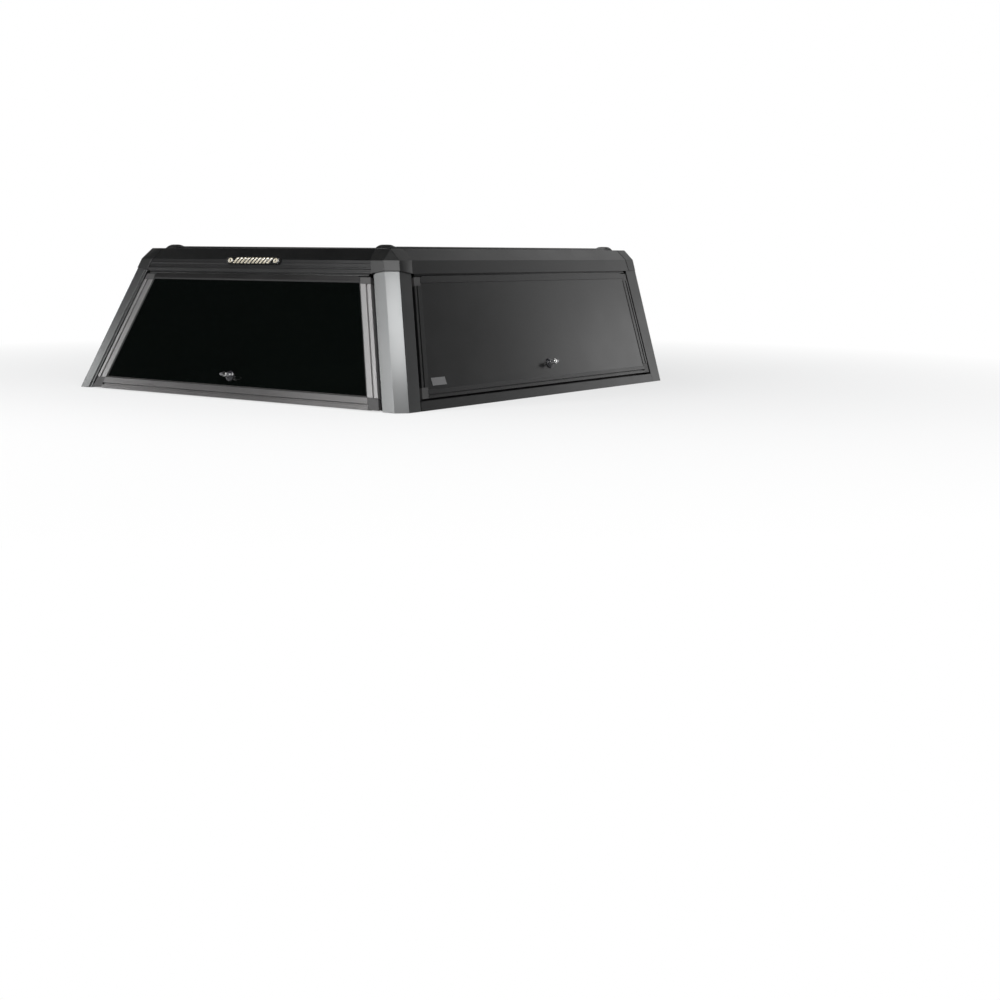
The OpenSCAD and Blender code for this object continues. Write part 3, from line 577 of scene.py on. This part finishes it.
def rear_ribs():
    """The ribbed profile carried across the rear band, its ends cut along the caps' edges."""
    s = bpy.context.scene.canopy_sizes
    share, n = rib_profile(s.rib_height)
    low = (BAND_LOW + 0.001) / math.cos(REAR_LEAN)
    high = (BAND_TOP - 0.0005) / math.cos(REAR_LEAN)
    u = high - share * (high - low)
    end = CAP_END_X - SEAT - SIDE_K * math.cos(REAR_LEAN) * u
    rings = np.stack([on_rear(-end, u, n), on_rear(end, u, n)])
    return ring_surface("band_ribs_rear", rings)


def gasket(name, place, leaf, inset, low, high, depth):
    """A rubber bead round a pane: a small rounded section carried round its four mitred edges."""
    arc = np.linspace(0.0, math.pi / 2, 5)
    width, crown, lip, foot = bpy.context.scene.canopy_sizes.gasket_width, 0.0024, 0.0004, -0.0006
    across = np.concatenate([[0.0], width * np.sin(arc), [width]])
    out = np.concatenate([[foot], crown * np.cos(arc) + lip, [foot]]) - depth
    corners = []
    for side, top in ((-1, False), (1, False), (1, True), (-1, True)):
        u = high - across if top else low + across
        corners.append(place(edge_at(leaf, side, inset + across, u), u, out))
    return ring_surface(name, np.stack(corners), closed=True)


def lamp_lens():
    """Fluted optics inside a round-ended outline, with a ring in each end.

    The outline's half length is its straight part plus the end's circle at that height.
    The phase counts slanted optics along the middle, and distance from a ring at the ends.
    The height is a base plus a cosine of the phase: each optic is a cushion, each ring a ridge.
    """
    s = bpy.context.scene.canopy_sizes
    half_h, straight, middle = 0.0115, 0.125, 0.098
    ring_x, ring_radius, ring_width, ring_stretch = 0.119, 0.0062, 0.0105, 1.3
    base, ridge, back = 0.0122, 0.0026, 0.0116
    v = np.sin(np.linspace(-math.pi / 2, math.pi / 2, 17)) * 0.999 * half_h
    t = np.linspace(-1.0, 1.0, 16 * s.optic_count + 1)
    reach = straight + np.sqrt(half_h**2 - v**2)
    x = t[:, None] * reach[None, :]
    y = np.broadcast_to(v, x.shape)
    along = (x - s.optic_slant * y) / (2 * middle) * s.optic_count
    limit = s.optic_count / 2
    from_ring = np.hypot((np.abs(x) - ring_x) / ring_stretch, y) - ring_radius
    ring = np.clip(0.5 - from_ring / ring_width, 0.0, 0.95)
    phase = np.where(np.abs(along) < limit, along, np.sign(along) * (limit + ring)) + limit
    edge = 1.0 - (y / half_h) ** 4
    n = base + ridge * edge * (0.5 + 0.5 * np.cos(2 * math.pi * (phase - 0.5)))
    top = on_rear(x, LAMP_U + y, n)
    under = on_rear(x, LAMP_U + y, back)
    rings = np.concatenate([top, under[:, ::-1]], axis=1)
    obj = ring_surface("lamp_optics", rings, smooth=True)
    layer = obj.data.uv_layers.new(name="Optics")
    wide = np.concatenate([phase, phase[:, ::-1]], axis=1).ravel()
    high = np.concatenate([y, y[:, ::-1]], axis=1).ravel()
    vertex = np.empty(len(obj.data.loops), dtype=np.int32)
    obj.data.loops.foreach_get("vertex_index", vertex)
    uv = np.stack([wide[vertex], high[vertex] / half_h], axis=-1)
    layer.data.foreach_set("uv", uv.astype(np.float32).ravel())
    return obj


def track_cap(name, side, front):
    """Arched end cap of a roof track: an arch along its length times a rounded crown across it."""
    length, half, high, low, thin = 0.062, 0.029, 0.015, 0.008, 0.0006
    steps, peak, rounding = 25, 0.45, 0.45
    t = np.linspace(0.0, 1.0, steps)
    arch = np.where(
        t < peak,
        high * np.sin(np.clip(t / peak, 0, 1) * math.pi / 2) ** 0.7,
        low + (high - low) * (0.5 + 0.5 * np.cos((t - peak) / (1 - peak) * math.pi)),
    )
    arch = np.maximum(arch, thin)
    a = np.linspace(0.0, math.pi, steps)
    across = half * np.sign(np.cos(a)) * np.abs(np.cos(a)) ** rounding
    crown = np.abs(np.sin(a)) ** rounding
    y = np.broadcast_to((t * length)[:, None], (steps, steps))
    x = np.broadcast_to(across, (steps, steps))
    z = arch[:, None] * crown[None, :]
    start, end = (corner[1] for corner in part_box("roof_track_ends"))
    middle = sum(corner[0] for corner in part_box("roof_track_right")) / 2
    y = end - y if front else start + y
    points = np.stack([side * (middle + x), y, ROOF_Z + z - SEAT], axis=-1)
    return ring_surface(name, points, smooth=True)


def lathe(name, place, centre, profile):
    """A closed ring solid: the (radius, height) profile turned round a centre on a face."""
    a = np.linspace(0.0, 2 * math.pi, LATHE_SIDES, endpoint=False)
    r, n = profile[:, 0], profile[:, 1]
    x = centre[0] + np.cos(a)[:, None] * r[None, :]
    u = centre[1] + np.sin(a)[:, None] * r[None, :]
    rings = place(x, u, centre[2] + np.broadcast_to(n, x.shape))
    return ring_surface(name, rings, closed=True)


def grip(name, place, centre):
    """Wings of a T-handle: a rounded section, narrower and thinner towards both ends."""
    s = bpy.context.scene.canopy_sizes
    half, rise = 0.5 * s.grip_length, centre[2] + GRIP_RISE
    t = np.sin(np.linspace(-math.pi / 2, math.pi / 2, 33))[1:-1]
    a = np.linspace(0.0, 2 * math.pi, 28, endpoint=False)
    bulge = 1 - t**2
    end = np.minimum(1.0, np.sqrt(bulge) * 1.9)
    width = 0.5 * s.grip_width * (0.62 + 0.38 * bulge) * end
    thick = GRIP_HALF_THICK * (0.6 + 0.4 * bulge) * end
    box_cos = np.sign(np.cos(a)) * np.abs(np.cos(a)) ** 0.7
    box_sin = np.sign(np.sin(a)) * np.abs(np.sin(a)) ** 0.7
    x = centre[0] + np.broadcast_to((half * t)[:, None], (len(t), len(a)))
    u = centre[1] + width[:, None] * box_cos[None, :]
    n = rise + thick[:, None] * box_sin[None, :]
    first = place(centre[0] - half, centre[1], rise)
    last = place(centre[0] + half, centre[1], rise)
    return pole_surface(name, first, place(x, u, n), last)


def lock_set(prefix, place, centre, leaf_body, turn_body, rose_node, handle_node):
    """A round rose on the leaf, and the stem and wings of the handle that turns in it."""
    rose = lathe(prefix + "_rose", place, centre, ROSE_PROFILE)
    piece(rose, "lock", leaf_body, "lock_black", rose_node)
    stem = lathe(prefix + "_stem", place, centre, STEM_PROFILE)
    piece(stem, "key", turn_body, "bright_metal")
    wings = grip(prefix + "_wings", place, centre)
    piece(wings, "wing", turn_body, "lock_black", handle_node)


def length_value(label, words, value):
    """A length property with its name, description and default."""
    return FloatProperty(name=label, description=words, default=value, unit="LENGTH")


class CanopySizes(bpy.types.PropertyGroup):
    """Sizes of the added details."""

    rib_height: length_value("Rib height", "Height of the rear band's ribs", 0.0026)
    gasket_width: length_value("Gasket width", "Width of the bead round the panes", 0.006)
    optic_count: IntProperty(
        name="Optics", description="Number of optics in the brake light", default=10
    )
    optic_slant: FloatProperty(
        name="Optic slant", description="Sideways run of an optic for its height", default=0.8
    )
    grip_length: length_value("Grip length", "Span of the T-handles", 0.062)
    grip_width: length_value("Grip width", "Width of the T-handles", 0.015)
    edge: length_value("Edge radius", "Rounding of the rails' edges", 0.0008)
    cap_edge: length_value("Cap edge radius", "Rounding of the caps' edges", 0.0016)


def colour_value(label, words, value):
    """A colour property with its name, description and default."""
    return FloatVectorProperty(
        name=label, description=words, subtype="COLOR", size=3, min=0.0, max=1.0, default=value
    )


class CanopyColours(bpy.types.PropertyGroup):
    """Colours of the finishes."""

    coat: colour_value("Coat", "Satin black of sheet and rails", (0.0045, 0.0047, 0.0049))
    band: colour_value("Band", "Ribbed band over the hatch", (0.03, 0.03, 0.0305))
    # Stiles, top rail and bottom rail are one anodised bar painted at three levels of light: the
    # stiles lighter as a painted highlight, the top rail near black as painted shade under the
    # header, the bottom rail in between.
    bar: colour_value("Stiles", "Dark anodised side bars of the hatch", (0.24, 0.236, 0.235))
    top_rail: colour_value("Top rail", "Black bar along the hatch's top", (0.022, 0.0216, 0.0217))
    low_rail: colour_value(
        "Bottom rail", "Dark anodised bar at the hatch's foot", (0.13, 0.127, 0.1265)
    )
    # The rear pillars' grey is a painted highlight on pillars that share the black satin coat.
    pillar: colour_value("Pillars", "Dark anodised rear pillars", (0.15, 0.153, 0.153))
    cap: colour_value("Caps", "Moulded caps", (0.007, 0.0073, 0.0073))
    connector: colour_value("Connectors", "Moulded corner connectors", (0.04, 0.039, 0.039))
    rubber: colour_value("Rubber", "Seals and gaskets", (0.006, 0.006, 0.006))
    glass: colour_value("Glass", "Tint of the panes", (0.003, 0.0042, 0.0037))
    lock: colour_value("Locks", "Lock bodies and lamp housing", (0.01, 0.01, 0.01))
    wing: colour_value("Handles", "Dark metal of the handles' wings", (0.2, 0.2, 0.205))
    bright: colour_value("Bright metal", "Key cylinders", (0.8, 0.8, 0.79))
    plate: colour_value("Plates", "Bare plates on the doors", (0.5, 0.5, 0.51))
    lens: colour_value("Optics", "Reflectors of the brake light", (0.5, 0.45, 0.345))
    floor: colour_value("Floor", "Floor of the stage", (0.8, 0.8, 0.8))


class CANOPY_OT_shell(bpy.types.Operator):
    """Coat the rails, headers, pillars, roof and caps"""

    bl_idname = "canopy.shell"
    bl_label = "Shell coats"

    def execute(self, context):
        s = context.scene.canopy_sizes
        for name in ("base_rail_left", "base_rail_right", "base_rail_front"):
            dress(name, "coat", s.edge)
        for name in ("side_header_left", "side_header_right", "front_header", "rear_header"):
            dress(name, "coat", s.edge)
        for name in ("front_pillar_left", "front_pillar_right"):
            dress(name, "coat", s.edge)
        # The rear pillars get a lighter metal than the front pillars' coat: a painted highlight.
        for name in ("rear_pillar_left", "rear_pillar_right"):
            dress(name, "pillar", s.edge)
        for name in ("rear_cap_left", "rear_cap_right", "front_caps"):
            dress(name, "cap", s.cap_edge)
        dress("roof_panel", "panel")
        for name in ("roof_track_left", "roof_track_right"):
            dress(name, "coat", TRACK_EDGE)
        return {"FINISHED"}


class CANOPY_OT_ribs(bpy.types.Operator):
    """Lay the ribbed band over the hatch"""

    bl_idname = "canopy.ribs"
    bl_label = "Band ribs"

    def execute(self, context):
        piece(rear_ribs(), "band", "canopy", "painted")
        return {"FINISHED"}


class CANOPY_OT_glass(bpy.types.Operator):
    """Glaze the hatch and the front window and set their gaskets"""

    bl_idname = "canopy.glass"
    bl_label = "Glass and gaskets"

    def execute(self, context):
        dress("hatch_glass", "glass")
        dress("front_window", "glass")
        bead = gasket(
            "hatch_gasket", on_rear, HATCH, STILE, HATCH_GLASS_LOW, HATCH_GLASS_HIGH, GLASS_SET
        )
        piece(bead, "rubber", "rear_hatch", "rubber")
        bead = gasket("window_gasket", on_front, WINDOW, 0.0, WINDOW[0], WINDOW[1], GLASS_SET)
        piece(bead, "rubber", "canopy", "rubber")
        return {"FINISHED"}


class CANOPY_OT_hatch(bpy.types.Operator):
    """Coat the hatch's bars, connectors and seals"""

    bl_idname = "canopy.hatch"
    bl_label = "Hatch"

    def execute(self, context):
        s = context.scene.canopy_sizes
        # The top rail gets the painted shade copy of the bar finish, the stiles the painted highlight
        # copy, the bottom rail the one in between.
        dress("hatch_top_rail", "top_rail", s.edge)
        dress("hatch_bottom_rail", "low_rail", s.edge)
        dress("hatch_stiles", "bar", s.edge)
        dress("hatch_corners", "connector", s.edge)
        for name in ("hatch_seal", "hatch_lip_seal"):
            dress(name, "rubber")
        return {"FINISHED"}


class CANOPY_OT_doors(bpy.types.Operator):
    """Coat both side doors and fit their plates"""

    bl_idname = "canopy.doors"
    bl_label = "Side doors"

    def execute(self, context):
        s = context.scene.canopy_sizes
        dress("door_seals", "rubber")
        for side in ("left", "right"):
            dress("door_frame_" + side, "coat", s.edge)
            dress("door_corners_" + side, "connector", s.edge)
            dress("door_panel_" + side, "panel")
            dress("door_plate_" + side, "plate", PLATE_EDGE)
        return {"FINISHED"}


class CANOPY_OT_lamp(bpy.types.Operator):
    """Make the high brake light's housing and optics"""

    bl_idname = "canopy.lamp"
    bl_label = "Brake light"

    def execute(self, context):
        dress("brake_light_housing", "housing", LAMP_EDGE)
        piece(lamp_lens(), "optics", "canopy", "lamp_clear", "brake_light_lens")
        return {"FINISHED"}


class CANOPY_OT_track_caps(bpy.types.Operator):
    """Set arched end caps on the roof tracks"""

    bl_idname = "canopy.track_caps"
    bl_label = "Track end caps"

    def execute(self, context):
        for side, side_name in ((-1, "left"), (1, "right")):
            for front, end_name in ((False, "rear"), (True, "front")):
                obj = track_cap(f"track_cap_{end_name}_{side_name}", side, front)
                piece(obj, "cap", "canopy", "cast_black")
        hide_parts("roof_track_ends")
        return {"FINISHED"}


class CANOPY_OT_locks(bpy.types.Operator):
    """Make the turning T-handles with their roses and keys"""

    bl_idname = "canopy.locks"
    bl_label = "Locks"

    def execute(self, context):
        lock_set(
            "hatch_lock",
            on_rear,
            (0.0, HATCH_LOCK_U, -GLASS_SET),
            "rear_hatch",
            "hatch_turn_handle",
            "hatch_lock",
            "hatch_handle",
        )
        middle = (edge_at(DOOR, -1, 0.0, DOOR_LOCK_U) + edge_at(DOOR, 1, 0.0, DOOR_LOCK_U)) / 2
        centre = (middle + DOOR_LOCK_SHIFT, DOOR_LOCK_U, -SKIN_SET)
        for side, place in (("left", on_left), ("right", on_right)):
            lock_set(
                "door_lock_" + side,
                place,
                centre,
                "door_" + side,
                "door_turn_handle_" + side,
                "door_lock_" + side,
                "door_handle_" + side,
            )
        for name in ("hatch_key", "door_key_left", "door_key_right"):
            dress(name, "key", KEY_EDGE)
        return {"FINISHED"}


def lamp(name, place, aim, size, power):
    """A soft lamp at a place, aimed at a point, hidden from the camera."""
    data = bpy.data.lights.new(name, "AREA")
    data.shape = "RECTANGLE"
    data.size, data.size_y = size
    data.energy = power
    obj = bpy.data.objects.new(name, data)
    bpy.context.scene.collection.objects.link(obj)
    back = np.array(place, dtype=float) - np.array(aim, dtype=float)
    back /= np.linalg.norm(back)
    side = np.cross([0.0, 0.0, 1.0], back)
    side /= np.linalg.norm(side)
    up = np.cross(back, side)
    obj.matrix_world = Matrix(
        [[side[i], up[i], back[i], place[i]] for i in range(3)] + [[0.0, 0.0, 0.0, 1.0]]
    )
    obj.visible_camera = False


def card(name, start, end, low, high):
    """A black card that only reflections show: upright on a line, or level over a rectangle."""
    (x0, y0), (x1, y1) = start, end
    if low == high:
        corners = [(x0, y0, low), (x1, y0, low), (x1, y1, low), (x0, y1, low)]
    else:
        corners = [(x0, y0, low), (x1, y1, low), (x1, y1, high), (x0, y0, high)]
    obj = mesh_object(name, np.array(corners, dtype=float), [np.array([[0, 1, 2, 3]])])
    made = bpy.data.materials.get("stage_card") or bpy.data.materials.new("stage_card")
    made.use_nodes = True
    surface = made.node_tree.nodes["Principled BSDF"]
    surface.inputs["Base Color"].default_value = (0.005, 0.005, 0.005, 1)
    surface.inputs["Roughness"].default_value = 1.0
    surface.inputs["Specular IOR Level"].default_value = 0.0
    obj.data.materials.append(made)
    obj.visible_camera = False
    obj.visible_diffuse = False
    obj.visible_shadow = False


def background_rays(tree):
    """A value that is 1 for rays from the camera, off gloss or through glass, and 0 for others."""
    rays = node(tree, "LightPath")
    first = node(tree, "Math", operation="MAXIMUM")
    link(tree, rays.outputs["Is Camera Ray"], first.inputs[0])
    link(tree, rays.outputs["Is Glossy Ray"], first.inputs[1])
    both = node(tree, "Math", operation="MAXIMUM")
    link(tree, first.outputs[0], both.inputs[0])
    link(tree, rays.outputs["Is Transmission Ray"], both.inputs[1])
    return both.outputs[0]


class CANOPY_OT_stage(bpy.types.Operator):
    """Set the floor, the lamps, the cards, the pale surroundings and the camera"""

    bl_idname = "canopy.stage"
    bl_label = "Stage"

    def execute(self, context):
        scene = context.scene
        half, level = 14.0, -0.0005
        corners = np.array([(-half, -half), (half, -half), (half, half), (-half, half)])
        points = np.concatenate([corners, np.full((4, 1), level)], axis=1)
        floor = mesh_object("floor", points, [np.array([[0, 1, 2, 3]])])
        floor.data.materials.append(self.floor_finish(scene.canopy_colours.floor))
        self.surroundings(scene)
        card("card_rear", (-1.15, -2.87), (-3.15, -2.4), 0.1, 4.5)
        card("card_left", (-3.15, -2.4), (-4.8, -0.6), 1.15, 4.5)
        card("card_right", (5.0, -0.9), (2.3, 2.75), 0.02, 5.0)
        card("card_top", (-9.0, -4.5), (5.5, 6.0), 5.5, 5.5)
        lamp("key", (3.05, -2.35, 4.1), (0.5, -0.6, 0.3), (3.0, 3.0), 150.0)
        lamp("rear_strip", (-0.95, -3.6, 2.15), (0.6, -0.8, 0.35), (0.7, 1.5), 56.0)
        lamp("left_strip", (-4.4, -2.9, 1.2), (-0.7, -0.8, 0.1), (1.0, 0.7), 26.0)
        lamp("front_glow", (3.8, 5.2, 1.2), (0.8, 0.5, 0.2), (2.2, 1.8), 24.0)
        self.camera(scene)
        scene.view_settings.view_transform = "Standard"
        return {"FINISHED"}

    def floor_finish(self, colour):
        """Pale matt floor with faint clouding: it keeps the shadow and is white further out."""
        made = bpy.data.materials.new("stage_floor")
        made.use_nodes = True
        tree = made.node_tree
        surface = tree.nodes["Principled BSDF"]
        surface.inputs["Roughness"].default_value = 0.8
        place = node(tree, "TexCoord")
        cloud = node(tree, "TexNoise", Scale=0.6, Detail=3.0)
        link(tree, place.outputs["Object"], cloud.inputs["Vector"])
        ramp = node(tree, "ValToRGB")
        ramp.color_ramp.elements[0].color = (*[c * 0.97 for c in colour], 1)
        ramp.color_ramp.elements[1].color = (*colour, 1)
        link(tree, cloud.outputs[0], ramp.inputs[0])
        link(tree, ramp.outputs[0], surface.inputs["Base Color"])
        white = node(tree, "Emission")
        white.inputs["Color"].default_value = (1, 1, 1, 1)
        away = node(tree, "VectorMath", operation="LENGTH")
        link(tree, place.outputs["Object"], away.inputs[0])
        fade = node(tree, "MapRange")
        fade.inputs["From Min"].default_value = 1.3
        fade.inputs["From Max"].default_value = 3.6
        fade.inputs["To Min"].default_value = 0.6
        fade.inputs["To Max"].default_value = 1.0
        link(tree, away.outputs["Value"], fade.inputs["Value"])
        share = node(tree, "Math", operation="MULTIPLY")
        link(tree, fade.outputs[0], share.inputs[0])
        link(tree, background_rays(tree), share.inputs[1])
        mix = node(tree, "MixShader")
        link(tree, share.outputs[0], mix.inputs[0])
        link(tree, surface.outputs[0], mix.inputs[1])
        link(tree, white.outputs[0], mix.inputs[2])
        link(tree, mix.outputs[0], tree.nodes["Material Output"].inputs["Surface"])
        return made

    def surroundings(self, scene):
        """A plain grey world that the camera, gloss and glass see as white."""
        world = bpy.data.worlds.new("studio")
        scene.world = world
        world.use_nodes = True
        tree = world.node_tree
        base = tree.nodes["Background"]
        base.inputs["Color"].default_value = (0.45, 0.46, 0.47, 1)
        base.inputs["Strength"].default_value = 0.7
        white = node(tree, "Background")
        white.inputs["Color"].default_value = (1, 1, 1, 1)
        white.inputs["Strength"].default_value = 1.0
        mix = node(tree, "MixShader")
        link(tree, background_rays(tree), mix.inputs[0])
        link(tree, base.outputs[0], mix.inputs[1])
        link(tree, white.outputs[0], mix.inputs[2])
        link(tree, mix.outputs[0], tree.nodes["World Output"].inputs["Surface"])

    def camera(self, scene):
        """The photograph's camera: turned 35.96 degrees, pitched 9.39 down and rolled slightly."""
        yaw, pitch, roll = 0.62766179, 0.163949329, 0.00445572329
        look = np.array(
            [-math.sin(yaw) * math.cos(pitch), math.cos(yaw) * math.cos(pitch), -math.sin(pitch)]
        )
        right = np.array([math.cos(yaw), math.sin(yaw), 0.0])
        up = np.cross(right, look)
        across = math.cos(roll) * right + math.sin(roll) * up
        rise = -math.sin(roll) * right + math.cos(roll) * up
        place = (4.10661362, -4.81555, 0.54349821)
        data = bpy.data.cameras.new("photo_camera")
        data.lens = 53.811
        data.sensor_width = 36.0
        obj = bpy.data.objects.new("photo_camera", data)
        scene.collection.objects.link(obj)
        obj.matrix_world = Matrix(
            [[across[i], rise[i], -look[i], place[i]] for i in range(3)] + [[0.0, 0.0, 0.0, 1.0]]
        )
        scene.camera = obj


OPERATORS = (
    CANOPY_OT_shell,
    CANOPY_OT_ribs,
    CANOPY_OT_glass,
    CANOPY_OT_hatch,
    CANOPY_OT_doors,
    CANOPY_OT_lamp,
    CANOPY_OT_track_caps,
    CANOPY_OT_locks,
    CANOPY_OT_stage,
)


class CANOPY_PT_panel(bpy.types.Panel):
    """Lists the canopy's steps, sizes and colours"""

    bl_idname = "CANOPY_PT_panel"
    bl_label = "Canopy"
    bl_space_type = "VIEW_3D"
    bl_region_type = "UI"
    bl_category = "Canopy"

    def draw(self, context):
        for operator in OPERATORS:
            self.layout.operator(operator.bl_idname)
        for values in (context.scene.canopy_sizes, context.scene.canopy_colours):
            box = self.layout.box()
            for key in values.__annotations__:
                box.prop(values, key)


CLASSES = (CanopySizes, CanopyColours, *OPERATORS, CANOPY_PT_panel)


def register():
    """Registers the classes and hangs the values on the scene."""
    for item in CLASSES:
        bpy.utils.register_class(item)
    bpy.types.Scene.canopy_sizes = PointerProperty(type=CanopySizes)
    bpy.types.Scene.canopy_colours = PointerProperty(type=CanopyColours)


def unregister():
    """Takes the values and the classes away again."""
    del bpy.types.Scene.canopy_colours
    del bpy.types.Scene.canopy_sizes
    for item in reversed(CLASSES):
        bpy.utils.unregister_class(item)


def main():
    """Dresses the whole canopy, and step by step."""
    register()
    bpy.ops.canopy.shell()
    bpy.ops.canopy.ribs()
    bpy.ops.canopy.glass()
    bpy.ops.canopy.hatch()
    bpy.ops.canopy.doors()
    bpy.ops.canopy.lamp()
    bpy.ops.canopy.track_caps()
    bpy.ops.canopy.locks()
    bpy.ops.canopy.stage()


if __name__ == "__main__":
    main()
